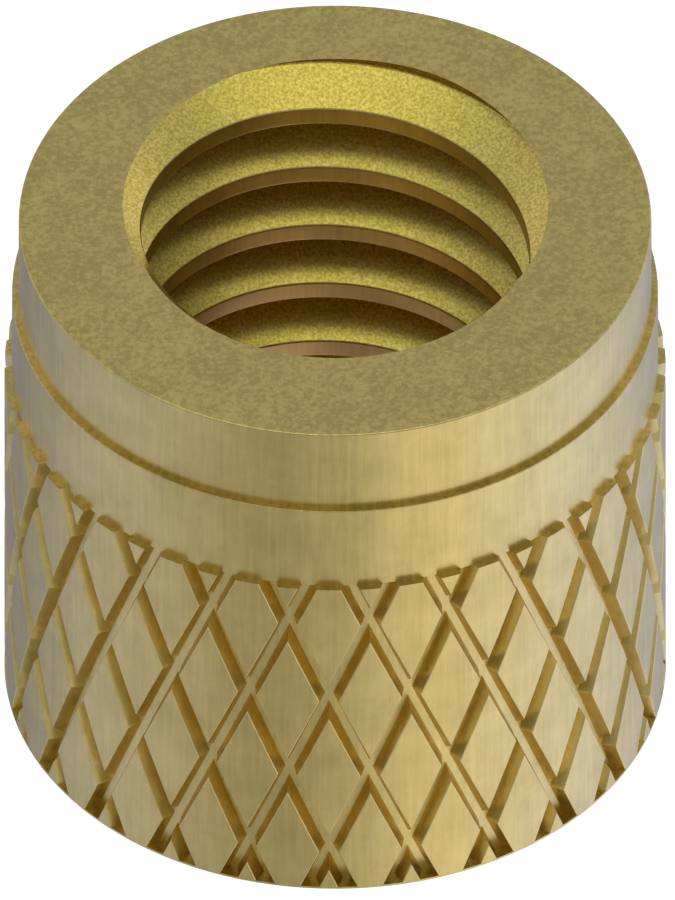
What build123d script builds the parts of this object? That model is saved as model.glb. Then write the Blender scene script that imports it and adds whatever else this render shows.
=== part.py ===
import os
from math import ceil, cos, pi, radians, tan
from build123d import *
from build123d.topology import SkipClean

os.makedirs("parts", exist_ok=True)

# A press-in threaded insert turned from one piece of brass bar.
# It stands on its knurled end: +Z is up, the origin is the centre of the bottom face,
# and the pilot that goes into the moulded hole first is at the top.

# Outside, from the top down
overall_length = 7.65
pilot_diameter = 8.0
pilot_height = 1.24
band_diameter = 8.17
band_height = 1.265
knurl_diameter = 8.36
foot_height = 0.03

# Diamond knurl: steep-sided grooves of both hands, the second pass a little shallower
groove_count = 25
groove_angle = 22.0
groove_mouth = 0.228
groove_floor = 0.1
groove_depth = 0.185
second_depth = 0.175
crossing_height = 3.215
crossing_direction = -90.0

# Internal thread, metric coarse form, right-hand
thread_diameter = 6.0
thread_pitch = 1.0
thread_start = 90.0
lead_in = 0.1
flank_angle = 30.0
crest_share = 1 / 4
root_share = 1 / 8

# How far a cutting shape runs past the surface it cuts
overrun = 0.1

# Radii and heights that follow from the sizes above
pilot_radius = pilot_diameter / 2
band_radius = band_diameter / 2
knurl_radius = knurl_diameter / 2
ledge_height = overall_length - pilot_height
knurl_top = ledge_height - band_height

# The thread form: full crest and root flats, straight flanks between them
flank_rise = thread_pitch * (1 - crest_share - root_share) / 2
thread_depth = flank_rise / tan(radians(flank_angle))
major_radius = thread_diameter / 2
bore_radius = major_radius - thread_depth
mouth_half = thread_pitch * (1 - crest_share) / 2
root_half = thread_pitch * root_share / 2
thread_turns = ceil(overall_length / thread_pitch) + 1
thread_bottom = overall_length - thread_turns * thread_pitch

# The knurl: how far one groove runs along the axis in a full turn, and its level widths
groove_lead = pi * knurl_diameter / tan(radians(groove_angle))
level_mouth_half = groove_mouth / cos(radians(groove_angle)) / 2
level_floor_half = groove_floor / cos(radians(groove_angle)) / 2
groove_start_turn = 360 * (crossing_height - foot_height) / groove_lead


def groove_cutter(depth, left_hand):
    # One groove, as a level section carried up a helix from the thin foot left at the bottom
    # to the underside of the band; it passes the crossing direction at the crossing height.
    turn_back = groove_start_turn if left_hand else -groove_start_turn
    start = Plane.XY.rotated((0, 0, crossing_direction + turn_back)).offset(foot_height)
    side_slope = (level_mouth_half - level_floor_half) / depth
    outer_half = level_mouth_half + overrun * side_slope
    with BuildLine(start, mode=Mode.PRIVATE) as path:
        Helix(groove_lead, knurl_top - foot_height, knurl_radius, lefthand=left_hand)
    with BuildSketch(start, mode=Mode.PRIVATE) as section:
        Polygon(
            (knurl_radius - depth, -level_floor_half),
            (knurl_radius + overrun, -outer_half),
            (knurl_radius + overrun, outer_half),
            (knurl_radius - depth, level_floor_half),
            align=None,
        )
    return sweep(section.sketch, path.line, is_frenet=True, mode=Mode.PRIVATE)


with BuildPart() as insert_body:
    # The turned blank: pilot, band, knurl land and the bore with its lead-ins
    with BuildSketch(Plane.XZ) as half_section:
        Polygon(
            (bore_radius + lead_in, 0),
            (knurl_radius, 0),
            (knurl_radius, knurl_top),
            (band_radius, knurl_top),
            (band_radius, ledge_height),
            (pilot_radius, ledge_height),
            (pilot_radius, overall_length),
            (bore_radius + lead_in, overall_length),
            (bore_radius, overall_length - lead_in),
            (bore_radius, lead_in),
            align=None,
        )
    revolve(axis=Axis.Z)

    # The thread: one groove of the standard form, cut right through both ends
    helix_plane = Plane.XY.rotated((0, 0, thread_start)).offset(thread_bottom)
    form_plane = Plane(helix_plane.origin, x_dir=helix_plane.x_dir, z_dir=-helix_plane.y_dir)
    inner_half = mouth_half + overrun * tan(radians(flank_angle))
    with BuildLine(helix_plane, mode=Mode.PRIVATE) as thread_path:
        Helix(thread_pitch, (thread_turns + 1) * thread_pitch, major_radius)
    with BuildSketch(form_plane, mode=Mode.PRIVATE) as thread_form:
        Polygon(
            (bore_radius - overrun, -inner_half),
            (major_radius, -root_half),
            (major_radius, root_half),
            (bore_radius - overrun, inner_half),
            align=None,
        )
    sweep(thread_form.sketch, thread_path.line, is_frenet=True, mode=Mode.SUBTRACT)

    with SkipClean():
        # The threaded blank is parted through its axis and joined again with the seams left in,
        # so that each crest of the thread is made of half-turn faces
        far_half = split(bisect_by=Plane.YZ, keep=Keep.BOTTOM, mode=Mode.PRIVATE)
        split(bisect_by=Plane.YZ, keep=Keep.TOP)
        add(far_half)

        # The knurl: every groove of one hand, then every groove of the other
        with PolarLocations(0, groove_count):
            add(groove_cutter(groove_depth, left_hand=False), mode=Mode.SUBTRACT)
        with PolarLocations(0, groove_count):
            add(groove_cutter(second_depth, left_hand=True), mode=Mode.SUBTRACT)

insert_body.part.label = "insert_body"
export_step(insert_body.part, "parts/insert_body.step")
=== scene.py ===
# %% [markdown]
# # A knurled brass threaded insert
# The real part is turned from one brass bar: a plain pilot, a plain band, a diamond knurl and a
# machine-screw thread right through the middle.
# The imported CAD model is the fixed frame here. This file models the same part again, finer,
# with the small edge breaks that catch the light, and then gives it its brass and its studio.

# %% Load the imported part
from math import cos, pi, radians, sin, sqrt, tan

import bmesh
import bpy
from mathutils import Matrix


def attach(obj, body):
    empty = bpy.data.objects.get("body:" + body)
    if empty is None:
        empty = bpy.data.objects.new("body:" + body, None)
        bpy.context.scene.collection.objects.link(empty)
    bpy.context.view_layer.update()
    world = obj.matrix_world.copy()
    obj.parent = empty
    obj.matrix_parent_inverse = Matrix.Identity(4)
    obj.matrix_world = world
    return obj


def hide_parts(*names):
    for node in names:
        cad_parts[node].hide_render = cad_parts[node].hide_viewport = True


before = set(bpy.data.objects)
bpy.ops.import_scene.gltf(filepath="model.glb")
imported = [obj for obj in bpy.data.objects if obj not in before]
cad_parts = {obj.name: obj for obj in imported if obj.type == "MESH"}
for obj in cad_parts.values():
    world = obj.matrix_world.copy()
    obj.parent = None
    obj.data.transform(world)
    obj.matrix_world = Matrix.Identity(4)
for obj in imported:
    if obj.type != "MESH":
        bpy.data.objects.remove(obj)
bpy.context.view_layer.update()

# %% [markdown]
# ## Sizes
# Everything is modelled in millimetres, where Blender's merge distances and bevels behave well,
# and is brought down to metres once, at the end. The values are those of the CAD part.
# `edge_break` and the other breaks are the hair-wide bevels that catch the light.

# %% Sizes in millimetres
length = 7.65
pilot_radius, pilot_height = 4.0, 1.24
band_radius, band_height = 4.085, 1.265
knurl_radius, foot_height = 4.18, 0.03
ledge = length - pilot_height
knurl_top = ledge - band_height
edge_break, band_break, pilot_break = 0.01, 0.012, 0.02
to_metres = 0.001
print("ledge at", round(ledge, 4), "knurl from", foot_height, "to", round(knurl_top, 4))

# %% [markdown]
# ## Three small helpers
# Operators work on what is selected, so each step first picks its edges by where they are.
# `pick_edges` does that in edit mode; `merge_close` welds points that lie on each other; `near` tells
# whether two measures are the same.

# %% Helpers for picking and welding
def pick_edges(piece, test):
    bpy.ops.mesh.select_mode(type="EDGE")
    bpy.ops.mesh.select_all(action="DESELECT")
    mesh = bmesh.from_edit_mesh(piece.data)
    for edge in mesh.edges:
        if test(edge, edge.verts[0].co, edge.verts[1].co):
            edge.select_set(True)
    bmesh.update_edit_mesh(piece.data)
    return sum(edge.select for edge in mesh.edges)


same_place = 0.0005


def merge_close(distance=same_place):
    bpy.ops.mesh.select_all(action="SELECT")
    bpy.ops.mesh.remove_doubles(threshold=distance)


def near(a, b):
    return abs(a - b) < same_place


# %% [markdown]
# ## One diamond of the knurl
# A knurl is two sets of slanted grooves, one of each hand, which leave flat-topped diamonds.
# It could be cut with fifty helical cutters, but Boolean cuts leave ragged faces.
# One diamond is modelled flat instead: a square, inset once for the groove's floor and once more,
# raised, for its steep wall. The rim of the land is bevelled, and the square is then stretched
# into the diamond whose sides lie at the groove's helix angle.

# %% Model one diamond
groove_count = 25
groove_angle = radians(22.0)
groove_mouth, groove_floor, groove_depth = 0.228, 0.1, 0.185
diamond_width = 2 * pi * knurl_radius / groove_count
diamond_height = diamond_width / tan(groove_angle)
across_flats = diamond_width * cos(groove_angle)

bpy.ops.object.select_all(action="DESELECT")
bpy.ops.mesh.primitive_plane_add(size=1)
knurl = bpy.context.object
knurl.name = "knurl"
bpy.ops.object.mode_set(mode="EDIT")
bpy.ops.mesh.select_mode(type="FACE")
bpy.ops.mesh.select_all(action="SELECT")
bpy.ops.mesh.inset(thickness=groove_floor / 2 / across_flats, depth=0)
bpy.ops.mesh.inset(thickness=(groove_mouth - groove_floor) / 2 / across_flats, depth=groove_depth)
bpy.ops.mesh.bevel(offset=edge_break, segments=3, affect="EDGES")
print("diamond", round(diamond_width, 4), "by", round(diamond_height, 4), "mm,",
      len(bmesh.from_edit_mesh(knurl.data).faces), "faces")

# %% [markdown]
# The land has to bend round the bar, so every edge that runs along a groove is divided.
# The short edges across the grooves stay whole: that keeps the mesh light.

# %% Divide it, and stretch it to the diamond
pick_edges(knurl, lambda e, a, b: near(a.x, b.x) or near(a.y, b.y))
bpy.ops.mesh.subdivide(number_cuts=7)
bpy.ops.mesh.select_all(action="SELECT")
bpy.ops.transform.rotate(value=pi / 4, orient_axis="Z", center_override=(0, 0, 0))
bpy.ops.transform.resize(value=(diamond_width / sqrt(2), diamond_height / sqrt(2), 1),
                         center_override=(0, 0, 0))
print("divided diamond:", len(bmesh.from_edit_mesh(knurl.data).faces), "faces")

# %% [markdown]
# ## The knurl as a flat sheet
# Diamonds stand in rows half a diamond apart. The diamond, repeated six times along the slant and
# then twenty-five times sideways, covers the knurled length. The land is at height zero, the groove
# floor below it, x runs round the bar and y up it. A groove crossing faces the front.

# %% Repeat the diamond
crossing_height = 3.215
first_row, row_count = -3, 6
bpy.ops.transform.translate(value=(
    -(groove_count // 2) * diamond_width + (first_row + 1) * diamond_width / 2,
    crossing_height + first_row * diamond_height / 2,
    -groove_depth,
))
bpy.ops.object.mode_set(mode="OBJECT")
up_the_slant, sideways = (diamond_width / 2, diamond_height / 2, 0), (diamond_width, 0, 0)
for count, step in ((row_count, up_the_slant), (groove_count, sideways)):
    bpy.ops.object.modifier_add(type="ARRAY")
    rows = knurl.modifiers[-1]
    rows.count = count
    rows.use_relative_offset = False
    rows.use_constant_offset = True
    rows.constant_offset_displace = step
    bpy.ops.object.modifier_apply(modifier=rows.name)
bpy.ops.object.mode_set(mode="EDIT")
merge_close()
print("knurl sheet:", len(bmesh.from_edit_mesh(knurl.data).faces), "faces")

# %% [markdown]
# ## Trimming the sheet
# At the top the lands stop in a flat step down to the band, and the grooves, which are deeper than
# the step, run in under the band. At the bottom a thin foot closes the grooves. On the flat sheet
# these are two straight bisects. A third one marks the band's level on the groove walls, so that the
# top edge can be extruded to that level without its faces crossing over each other.

# %% Cut the sheet to length and add the end walls
step_level = band_radius - knurl_radius
for level, way in ((knurl_top, 1), (foot_height, -1)):
    bpy.ops.mesh.select_all(action="SELECT")
    bpy.ops.mesh.bisect(plane_co=(0, level, 0), plane_no=(0, way, 0), clear_outer=True)
bpy.ops.mesh.select_all(action="SELECT")
bpy.ops.mesh.bisect(plane_co=(0, 0, step_level), plane_no=(0, 0, 1))

rim = pick_edges(knurl, lambda e, a, b: (
    e.is_boundary and near(a.y, knurl_top) and near(b.y, knurl_top)))
bpy.ops.mesh.extrude_edges_move()
bpy.ops.transform.resize(value=(1, 1, 0), center_override=(0, 0, step_level))
foot = pick_edges(knurl, lambda e, a, b: (
    e.is_boundary and near(a.y, foot_height) and near(b.y, foot_height)))
bpy.ops.mesh.extrude_edges_move()
bpy.ops.transform.resize(value=(1, 1, 0), center_override=(0, 0, 0))
merge_close()
foot_ring = pick_edges(knurl, lambda e, a, b: (
    e.is_boundary and near(a.y, foot_height) and near(b.y, foot_height) and near(a.z, 0) and near(b.z, 0)))
bpy.ops.mesh.extrude_edges_move(TRANSFORM_OT_translate={"value": (0, -foot_height, 0)})
print("edges at the step", rim, "at the groove ends", foot, "and round the foot", foot_ring)

# %% [markdown]
# ## Bending a sheet round
# The Simple Deform modifier bends a flat sheet about an upright axis. The sheet is first stood up,
# facing the front, and the angle is set so that one bar circumference closes on itself.
# Afterwards the tube is moved so that its axis is the z axis, and the seam is welded.

# %% Bend the knurl
def bend_round(piece, radius):
    bpy.ops.mesh.select_all(action="SELECT")
    bpy.ops.transform.rotate(value=-pi / 2, orient_axis="X", center_override=(0, 0, 0))
    bpy.ops.object.mode_set(mode="OBJECT")
    across = [point.co.x for point in piece.data.vertices]
    upright = max(point.co.z for point in piece.data.vertices)
    bpy.ops.object.modifier_add(type="SIMPLE_DEFORM")
    bend = piece.modifiers[-1]
    bend.deform_method = "BEND"
    bend.deform_axis = "Z"
    bend.angle = (max(across) - min(across)) / radius
    bpy.ops.object.modifier_apply(modifier=bend.name)
    bpy.ops.object.mode_set(mode="EDIT")
    bpy.ops.mesh.select_all(action="SELECT")
    bpy.ops.transform.translate(value=(0, -radius, 0))
    merge_close()
    bpy.ops.object.mode_set(mode="OBJECT")
    radii = [sqrt(point.co.x ** 2 + point.co.y ** 2) for point in piece.data.vertices]
    print(piece.name, "top", round(upright, 4), "radii", round(min(radii), 4), "to", round(max(radii), 4))


bend_round(knurl, knurl_radius)

# %% [markdown]
# ## One turn of the thread, flat
# The thread inside is a helical groove. Unrolled, it is a corrugated sheet whose ridges run at a
# slant: over one circumference they rise by one pitch. So a single zigzag profile is drawn from a
# vertex by extruding it along, repeated up the bore, and dragged sideways by one turn and one pitch.
# Its corners are rounded a little, as a tap leaves them. The dragged lines are divided in two passes,
# since one subdivision makes at most a hundred cuts.

# %% Draw the thread's profile
pitch, thread_radius = 1.0, 3.0
crest_flat, root_flat = pitch / 4, pitch / 8
flank_rise = (pitch - crest_flat - root_flat) / 2
crest_level = -flank_rise / tan(radians(30.0))
turns_below = 9
corner_round = 0.02

bpy.ops.object.select_all(action="DESELECT")
bpy.ops.mesh.primitive_plane_add(size=1)
thread = bpy.context.object
thread.name = "thread"
bpy.ops.object.mode_set(mode="EDIT")
bpy.ops.mesh.select_mode(type="VERT")
bpy.ops.mesh.select_all(action="SELECT")
bpy.ops.mesh.merge(type="CENTER")
bpy.ops.transform.translate(value=(-pi * thread_radius, length - turns_below * pitch, 0))
for rise, drop in ((root_flat / 2, 0), (flank_rise, crest_level), (crest_flat, 0),
                   (flank_rise, -crest_level), (root_flat / 2, 0)):
    bpy.ops.mesh.extrude_vertices_move(TRANSFORM_OT_translate={"value": (0, rise, drop)})
bpy.ops.object.mode_set(mode="OBJECT")
print("thread depth", round(-crest_level, 4), "crest radius", round(thread_radius + crest_level, 4))

# %% Repeat the profile and drag it round one turn
bpy.ops.object.modifier_add(type="ARRAY")
rise = thread.modifiers[-1]
rise.count = turns_below + 2
rise.use_relative_offset = False
rise.use_constant_offset = True
rise.constant_offset_displace = (0, pitch, 0)
bpy.ops.object.modifier_apply(modifier=rise.name)
bpy.ops.object.mode_set(mode="EDIT")
merge_close()
for point in bmesh.from_edit_mesh(thread.data).verts:
    step = (point.co.y - (length - turns_below * pitch)) % pitch
    point.select_set(not (near(step, 0) or near(step, pitch)) and len(point.link_edges) == 2)
bpy.ops.mesh.bevel(offset=corner_round, segments=3, affect="VERTICES")
bpy.ops.mesh.select_all(action="SELECT")
bpy.ops.mesh.extrude_edges_move(
    TRANSFORM_OT_translate={"value": (2 * pi * thread_radius, pitch, 0)})
for cuts in (89, 1):
    turn_lines = pick_edges(thread, lambda e, a, b: not near(a.x, b.x))
    bpy.ops.mesh.subdivide(number_cuts=cuts)
print("lines dragged", turn_lines, "faces", len(bmesh.from_edit_mesh(thread.data).faces))

# %% [markdown]
# ## Trimming the thread
# The thread runs straight out through both flat ends of the insert. On the flat sheet that is one
# bisect at each end. Then the sheet is bent round in the same way as the knurl.

# %% Cut the thread to length and bend it
for end, way in ((length, 1), (0, -1)):
    bpy.ops.mesh.select_all(action="SELECT")
    bpy.ops.mesh.bisect(plane_co=(0, end, 0), plane_no=(0, way, 0), clear_outer=True)
bend_round(thread, thread_radius)

# %% [markdown]
# ## The plain band and pilot
# These are simple turned steps. A circle is the start; extruding it up, inwards and up again is the
# hand version of a lathe. The outer corners are then bevelled a hair, as a turning tool leaves them.

# %% Turn the band and the pilot
strip, face_width = 0.02, 0.2
bpy.ops.object.select_all(action="DESELECT")
bpy.ops.mesh.primitive_circle_add(vertices=360, radius=band_radius, location=(0, 0, knurl_top + strip))
turned = bpy.context.object
turned.name = "turned_steps"
bpy.ops.object.transform_apply(location=True, rotation=True, scale=True)
bpy.ops.object.mode_set(mode="EDIT")
bpy.ops.mesh.select_all(action="SELECT")
face_edge = pilot_radius - face_width
radius, level = band_radius, knurl_top + strip
for next_radius, next_level in ((band_radius, ledge), (pilot_radius, ledge),
                                (pilot_radius, length), (face_edge, length)):
    bpy.ops.mesh.extrude_edges_move()
    bpy.ops.transform.translate(value=(0, 0, next_level - level))
    bpy.ops.transform.resize(value=(next_radius / radius, next_radius / radius, 1),
                             center_override=(0, 0, 0))
    radius, level = next_radius, next_level


def on_ring(a, b, radius, level):
    return all(near(sqrt(p.x ** 2 + p.y ** 2), radius) and near(p.z, level) for p in (a, b))


for radius, level, width in ((band_radius, ledge, band_break), (pilot_radius, length, pilot_break)):
    ring = pick_edges(turned, lambda e, a, b: on_ring(a, b, radius, level))
    bpy.ops.mesh.bevel(offset=width, segments=4, affect="EDGES")
    print("rounded ring of", ring, "edges at radius", radius)
bpy.ops.object.mode_set(mode="OBJECT")

# %% [markdown]
# ## Closing the body
# The three shells are joined into one mesh. The narrow strip left open at the foot of the band is
# bridged to the knurl, and so are the two flat ends, between their outer ring and the thread's edge.

# %% Join and bridge
bpy.ops.object.select_all(action="DESELECT")
for shell in (knurl, thread, turned):
    shell.select_set(True)
bpy.context.view_layer.objects.active = turned
bpy.ops.object.join()
insert = turned
insert.name = "insert_brass"
insert.data.name = "insert_brass"
bpy.ops.object.mode_set(mode="EDIT")
strip_edges = pick_edges(insert, lambda e, a, b: e.is_boundary and (
    on_ring(a, b, band_radius, knurl_top) or on_ring(a, b, band_radius, knurl_top + strip)))
bpy.ops.mesh.bridge_edge_loops()
for level in (0, length):
    end_edges = pick_edges(insert, lambda e, a, b: (
        e.is_boundary and near(a.z, level) and near(b.z, level)))
    bpy.ops.mesh.bridge_edge_loops()
    print("end at", level, "closed between", end_edges, "edges")
merge_close()
bpy.ops.mesh.normals_make_consistent(inside=False)
bpy.ops.object.mode_set(mode="OBJECT")
print("strip bridged over", strip_edges, "edges")

# %% [markdown]
# ## Countersinks
# A small countersink breaks the thread's sharp start at each end. It meets the spiral crest in a
# curve that is awkward to draw, so here a Boolean is the right tool: a cone is taken away.

# %% Take a cone away at each end
crest_radius = thread_radius + crest_level
lead_in, spare = 0.1, 0.1
for end, way in ((length, 1), (0, -1)):
    bpy.ops.object.select_all(action="DESELECT")
    bpy.ops.mesh.primitive_cone_add(
        vertices=180,
        radius1=crest_radius - spare if way > 0 else crest_radius + lead_in + spare,
        radius2=crest_radius + lead_in + spare if way > 0 else crest_radius - spare,
        depth=lead_in + 2 * spare,
        location=(0, 0, end - way * lead_in / 2),
    )
    cone = bpy.context.object
    bpy.ops.object.select_all(action="DESELECT")
    insert.select_set(True)
    bpy.context.view_layer.objects.active = insert
    bpy.ops.object.modifier_add(type="BOOLEAN")
    sink = insert.modifiers[-1]
    sink.operation, sink.solver, sink.object = "DIFFERENCE", "EXACT", cone
    bpy.ops.object.modifier_apply(modifier=sink.name)
    bpy.data.objects.remove(cone, do_unlink=True)
    print("countersink at", end, "faces", len(insert.data.polygons))

# %% [markdown]
# ## Down to metres
# The body is measured before it is used: a closed shell has no open edge, and its volume should be
# close to the CAD solid's. Then it is shaded smooth, with its corners kept sharp, and scaled once.
# The Weighted Normal modifier lets the large faces decide the shading, so that the lands stay flat
# right up to their bevels. It comes before the scaling, as it takes no notice of faces smaller than
# a ten-thousandth of a square unit.

# %% Measure, shade and scale
cut_weld = 0.0002
bpy.ops.object.mode_set(mode="EDIT")
merge_close(cut_weld)
bpy.ops.mesh.normals_make_consistent(inside=False)
body = bmesh.from_edit_mesh(insert.data)
print("open edges", sum(edge.is_boundary for edge in body.edges),
      "crowded edges", sum(len(edge.link_faces) > 2 for edge in body.edges))
print("volume", round(body.calc_volume(), 2), "mm3, triangles", len(body.calc_loop_triangles()))
bpy.ops.object.mode_set(mode="OBJECT")
bpy.ops.object.shade_smooth_by_angle(angle=radians(24))
bpy.ops.object.modifier_add(type="WEIGHTED_NORMAL")
weighted = insert.modifiers[-1]
weighted.keep_sharp = True
bpy.ops.object.modifier_apply(modifier=weighted.name)
bpy.ops.object.mode_set(mode="EDIT")
bpy.ops.mesh.select_all(action="SELECT")
bpy.ops.transform.resize(value=(to_metres, to_metres, to_metres), center_override=(0, 0, 0))
bpy.ops.object.mode_set(mode="OBJECT")
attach(insert, "root")
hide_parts("insert_body")

# %% [markdown]
# ## The brass
# Machined brass is a bare metal, so nearly all of its look is what it reflects. The colour is set on
# a metallic surface; a fine grain breaks the reflection up. The grain is a noise squeezed along the
# axis: on the flat ends it reads as speckle, on the round sides as faint upright scratches.
# A second, slow noise lets the tone drift a little, as handled brass does.

# %% Brass: grain and tone
brass = bpy.data.materials.new("satin_brass")
brass.use_nodes = True
nodes, links = brass.node_tree.nodes, brass.node_tree.links
surface = nodes["Principled BSDF"]
surface.inputs["Metallic"].default_value = 1.0
place = nodes.new("ShaderNodeTexCoord")


def noise(scale, detail, vector):
    texture = nodes.new("ShaderNodeTexNoise")
    texture.inputs["Scale"].default_value = scale
    texture.inputs["Detail"].default_value = detail
    texture.inputs["Roughness"].default_value = 0.65
    links.new(vector, texture.inputs["Vector"])
    return texture


def two_tone(factor, low, low_colour, high, high_colour):
    ramp = nodes.new("ShaderNodeValToRGB")
    stops = ((low, low_colour), (high, high_colour))
    for element, (where, colour) in zip(ramp.color_ramp.elements, stops):
        element.position = where
        element.color = (*colour, 1)
    links.new(factor, ramp.inputs["Fac"])
    return ramp


def calc(operation, *values):
    node = nodes.new("ShaderNodeMath")
    node.operation = operation
    for socket, value in zip(node.inputs, values):
        if isinstance(value, float):
            socket.default_value = value
        else:
            links.new(value, socket)
    return node.outputs["Value"]


squeeze = nodes.new("ShaderNodeMapping")
squeeze.inputs["Scale"].default_value = (1.0, 1.0, 0.06)
links.new(place.outputs["Object"], squeeze.inputs["Vector"])
grain = noise(14000.0, 3.0, squeeze.outputs["Vector"])
drift = noise(1500.0, 5.0, place.outputs["Object"])
facing = nodes.new("ShaderNodeNewGeometry")
upright = nodes.new("ShaderNodeSeparateXYZ")
links.new(facing.outputs["Normal"], upright.inputs["Vector"])
on_end = calc("MULTIPLY", calc("POWER", upright.outputs["Z"], 2.0), 0.8)
speck = calc("MULTIPLY", calc("SUBTRACT", grain.outputs["Fac"], 0.5), calc("ADD", on_end, 0.45))
mottle = calc("ADD", speck, calc("MULTIPLY_ADD", drift.outputs["Fac"], 0.55, 0.225))
tone = two_tone(mottle, 0.36, (0.62, 0.49, 0.18), 0.64, (0.81, 0.645, 0.25))
print("grain scale", grain.inputs["Scale"].default_value,
      "drift scale", drift.inputs["Scale"].default_value)

# %% [markdown]
# Inside the thread the flanks get a purer and brighter yellow with a speckle: a painted reflection of the
# light that bounces from brass to brass, and painted glints. The distance from the axis tells them from
# the crests. Deep between the turns light only arrives from brass to brass, so that part goes brown by
# itself.

# %% Brass: the thread's flanks
crest_clear, root_clear, end_clear = 0.012, 0.05, 0.003
flank_from = thread_radius + crest_level + crest_clear
apart = nodes.new("ShaderNodeSeparateXYZ")
links.new(place.outputs["Object"], apart.inputs["Vector"])
squares = [calc("POWER", apart.outputs[axis], 2.0) for axis in ("X", "Y")]
from_axis = calc("SQRT", calc("ADD", *squares))
past_crest = calc("GREATER_THAN", from_axis, flank_from * to_metres)
within_root = calc("LESS_THAN", from_axis, (thread_radius + root_clear) * to_metres)
from_middle = calc("ABSOLUTE", calc("SUBTRACT", apart.outputs["Z"], length / 2 * to_metres))
off_ends = calc("LESS_THAN", from_middle, (length / 2 - end_clear) * to_metres)
flank = calc("MULTIPLY", calc("MULTIPLY", past_crest, within_root), off_ends)

# Painted reflection and painted glints: the flanks' brighter, purer yellow stands in for light bounced
# from brass to brass, and its noise speckle stands in for glints.
sparkle = noise(26000.0, 2.0, place.outputs["Object"])
painted_flank_reflection = two_tone(sparkle.outputs["Fac"], 0.36, (0.58, 0.43, 0.08), 0.64, (0.92, 0.735, 0.19))


def mixed(factor, first, second):
    node = nodes.new("ShaderNodeMix")
    node.data_type = "RGBA"
    links.new(factor, node.inputs["Factor"])
    for name, value in (("A", first), ("B", second)):
        if isinstance(value, tuple):
            node.inputs[name].default_value = (*value, 1)
        else:
            links.new(value, node.inputs[name])
    return node.outputs["Result"]


links.new(mixed(flank, tone.outputs["Color"], painted_flank_reflection.outputs["Color"]), surface.inputs["Base Color"])
print("thread flanks from radius", round(flank_from, 3), "mm")

# %% Brass: gloss and fine relief
gloss = nodes.new("ShaderNodeMapRange")
gloss.inputs["To Min"].default_value = 0.24
gloss.inputs["To Max"].default_value = 0.38
links.new(grain.outputs["Fac"], gloss.inputs["Value"])
links.new(gloss.outputs["Result"], surface.inputs["Roughness"])
fine = nodes.new("ShaderNodeBump")
fine.inputs["Strength"].default_value = 0.3
fine.inputs["Distance"].default_value = 0.000006
glints = calc("MULTIPLY", calc("MULTIPLY", flank, 0.6), sparkle.outputs["Fac"])
links.new(calc("ADD", grain.outputs["Fac"], glints), fine.inputs["Height"])
links.new(fine.outputs["Normal"], surface.inputs["Normal"])

insert.data.materials.clear()
insert.data.materials.append(brass)
print("material", brass.name, "with", len(nodes), "nodes")

# %% [markdown]
# ## Floor and light
# The insert stands on a white sweep. The floor answers the camera with its own white, so that the
# picture's ground is white without more light on the metal, and still takes a soft shadow.
# Mirror rays pass through it: what the metal shows of the floor comes from the lower half of the sky
# below, by direction alone, as from a studio much larger than this small part. Right under the insert
# they are dimmed and warmed, since the paper there lies in its shade. The floor lies a hair's breadth
# below the bottom face, so that the two never share a plane.

# %% White floor
bpy.ops.object.select_all(action="DESELECT")
floor_gap = 0.00001
deep_shade, end_of_shade = 0.002, 0.0042
bpy.ops.mesh.primitive_plane_add(size=0.6, location=(0, 0, -floor_gap))
floor = bpy.context.object
floor.name = "floor"
paper = bpy.data.materials.new("white_paper")
paper.use_nodes = True
nodes, links = paper.node_tree.nodes, paper.node_tree.links
nodes.clear()
output = nodes.new("ShaderNodeOutputMaterial")
matte = nodes.new("ShaderNodeBsdfDiffuse")
matte.inputs["Color"].default_value = (0.3, 0.3, 0.3, 1)
glow = nodes.new("ShaderNodeEmission")
glow.inputs["Color"].default_value = (0.95, 0.95, 0.95, 1)
both = nodes.new("ShaderNodeAddShader")
ray = nodes.new("ShaderNodeLightPath")
mirrored = nodes.new("ShaderNodeMath")
mirrored.operation = "MAXIMUM"
clear = nodes.new("ShaderNodeBsdfTransparent")
spot = nodes.new("ShaderNodeTexCoord")
far_off = nodes.new("ShaderNodeVectorMath")
far_off.operation = "LENGTH"
shaded = nodes.new("ShaderNodeMapRange")
shaded.inputs["From Min"].default_value = deep_shade
shaded.inputs["From Max"].default_value = end_of_shade
tint = nodes.new("ShaderNodeMix")
tint.data_type = "RGBA"
tint.inputs["A"].default_value = (0.62, 0.48, 0.52, 1)
tint.inputs["B"].default_value = (1, 1, 1, 1)
links.new(spot.outputs["Object"], far_off.inputs[0])
links.new(far_off.outputs["Value"], shaded.inputs["Value"])
links.new(shaded.outputs["Result"], tint.inputs["Factor"])
links.new(tint.outputs["Result"], clear.inputs["Color"])
choose = nodes.new("ShaderNodeMixShader")
links.new(ray.outputs["Is Camera Ray"], glow.inputs["Strength"])
links.new(matte.outputs["BSDF"], both.inputs[0])
links.new(glow.outputs["Emission"], both.inputs[1])
links.new(ray.outputs["Is Glossy Ray"], mirrored.inputs[0])
links.new(ray.outputs["Is Transmission Ray"], mirrored.inputs[1])
links.new(mirrored.outputs["Value"], choose.inputs["Fac"])
links.new(both.outputs["Shader"], choose.inputs[1])
links.new(clear.outputs["BSDF"], choose.inputs[2])
links.new(choose.outputs["Shader"], output.inputs["Surface"])
floor.data.materials.append(paper)
print("floor", floor.name, "size", [round(v, 3) for v in floor.dimensions])

# %% [markdown]
# The sky is painted by direction. Below the horizon and just above it the colour goes by compass, from
# the front (0.5 on the ramp) round to the right and the left: lighter on the right, with a cool tint
# towards both sides. Overhead it brightens to a soft white, less far down at the front.

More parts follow.
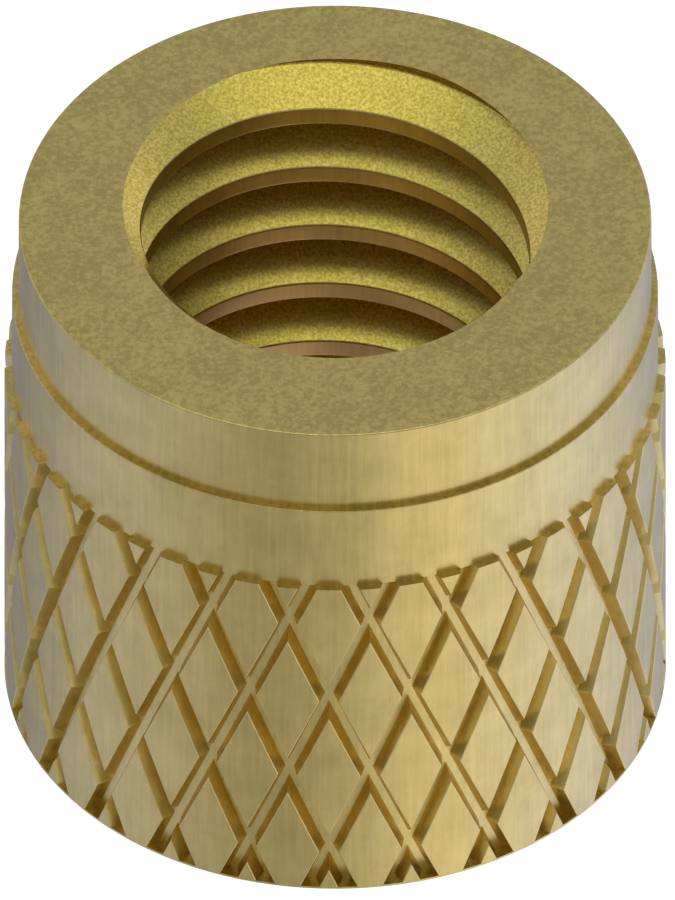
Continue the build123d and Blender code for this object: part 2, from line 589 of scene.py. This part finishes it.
# %% Soft studio sky: compass ramps
world = bpy.context.scene.world or bpy.data.worlds.new("studio")
bpy.context.scene.world = world
world.use_nodes = True
nodes, links = world.node_tree.nodes, world.node_tree.links
nodes.clear()
look = nodes.new("ShaderNodeTexCoord")
apart = nodes.new("ShaderNodeSeparateXYZ")
turn = nodes.new("ShaderNodeMapping")
turn.inputs["Rotation"].default_value = (0, 0, radians(90))
compass = nodes.new("ShaderNodeTexGradient")
compass.gradient_type = "RADIAL"
links.new(look.outputs["Generated"], apart.inputs["Vector"])
links.new(look.outputs["Generated"], turn.inputs["Vector"])
links.new(turn.outputs["Vector"], compass.inputs["Vector"])


def round_the_compass(stops):
    ramp = nodes.new("ShaderNodeValToRGB")
    while len(ramp.color_ramp.elements) < len(stops):
        ramp.color_ramp.elements.new(0.5)
    for element, (where, colour) in zip(ramp.color_ramp.elements, stops):
        element.position = where
        element.color = (*colour, 1)
    links.new(compass.outputs["Fac"], ramp.inputs["Fac"])
    return ramp.outputs["Color"]


def grey(value):
    return (value, value, value)


ground = round_the_compass((
    (0.0, (0.3, 0.31, 0.4)), (0.111, (0.29, 0.29, 0.4)), (0.167, (0.41, 0.44, 0.64)),
    (0.222, (0.5, 0.54, 0.78)), (0.28, (0.56, 0.585, 0.82)), (0.333, (0.54, 0.555, 0.69)),
    (0.39, (0.45, 0.46, 0.49)), (0.444, grey(0.385)),
    (0.5, grey(0.48)), (0.53, grey(0.59)), (0.556, grey(0.79)), (0.611, (0.92, 0.9, 0.9)),
    (0.667, (0.96, 0.98, 1.15)), (0.722, (0.9, 0.95, 1.32)), (0.778, (0.86, 0.93, 1.42)),
    (0.833, (0.76, 0.8, 1.2)), (0.889, (0.55, 0.6, 0.85)), (1.0, (0.3, 0.31, 0.4)),
))
skyline = round_the_compass((
    (0.0, grey(0.36)), (0.05, grey(0.38)), (0.11, (0.68, 0.68, 0.78)), (0.25, (0.38, 0.4, 0.45)),
    (0.5, grey(0.34)), (0.75, (0.34, 0.35, 0.38)), (0.83, (0.45, 0.46, 0.5)),
    (0.89, (0.85, 0.87, 0.94)), (0.95, grey(0.38)), (1.0, grey(0.36)),
))
print("sky painted round the compass")

# %% Soft studio sky: put together
below = calc("LESS_THAN", apart.outputs["Z"], 0.0)
overhead = nodes.new("ShaderNodeMapRange")
overhead.interpolation_type = "SMOOTHSTEP"
overhead.inputs["From Min"].default_value = 0.81
overhead.inputs["From Max"].default_value = 0.93
ahead = calc("MULTIPLY", calc("MINIMUM", apart.outputs["Y"], 0.0), 0.3)
lean = calc("MULTIPLY_ADD", apart.outputs["X"], 0.04, ahead)
links.new(calc("ADD", apart.outputs["Z"], lean), overhead.inputs["Value"])
upper = mixed(overhead.outputs["Result"], skyline, (1.18, 1.28, 0.98))
halves = mixed(below, upper, ground)
ray = nodes.new("ShaderNodeLightPath")
sky = nodes.new("ShaderNodeBackground")
output = nodes.new("ShaderNodeOutputWorld")
links.new(mixed(ray.outputs["Is Camera Ray"], halves, grey(1.0)), sky.inputs["Color"])
links.new(sky.outputs["Background"], output.inputs["Surface"])
bpy.context.scene.view_settings.view_transform = "Standard"
print("sky", world.name, "with", len(nodes), "nodes")

# %% [markdown]
# ## Camera
# The photograph is taken from far off, so its lines stay parallel: an orthographic camera, 43 degrees
# above the floor and facing the groove crossing at the front.

# %% Camera at the photograph's angle
from mathutils import Vector

azimuth, elevation, distance = radians(-88.93), radians(42.88), 0.12
target = Vector((0.0000303, 0.0000006, 0.003687))
away = Vector((cos(elevation) * cos(azimuth), cos(elevation) * sin(azimuth), sin(elevation)))
bpy.ops.object.select_all(action="DESELECT")
bpy.ops.object.camera_add(location=target + distance * away,
                          rotation=(-away).to_track_quat("-Z", "Y").to_euler())
camera = bpy.context.object
camera.data.type = "ORTHO"
camera.data.ortho_scale = 0.011377
camera.data.clip_start = 0.001
camera.data.clip_end = 2.0
bpy.context.scene.camera = camera
print("camera at", [round(v, 4) for v in camera.location])
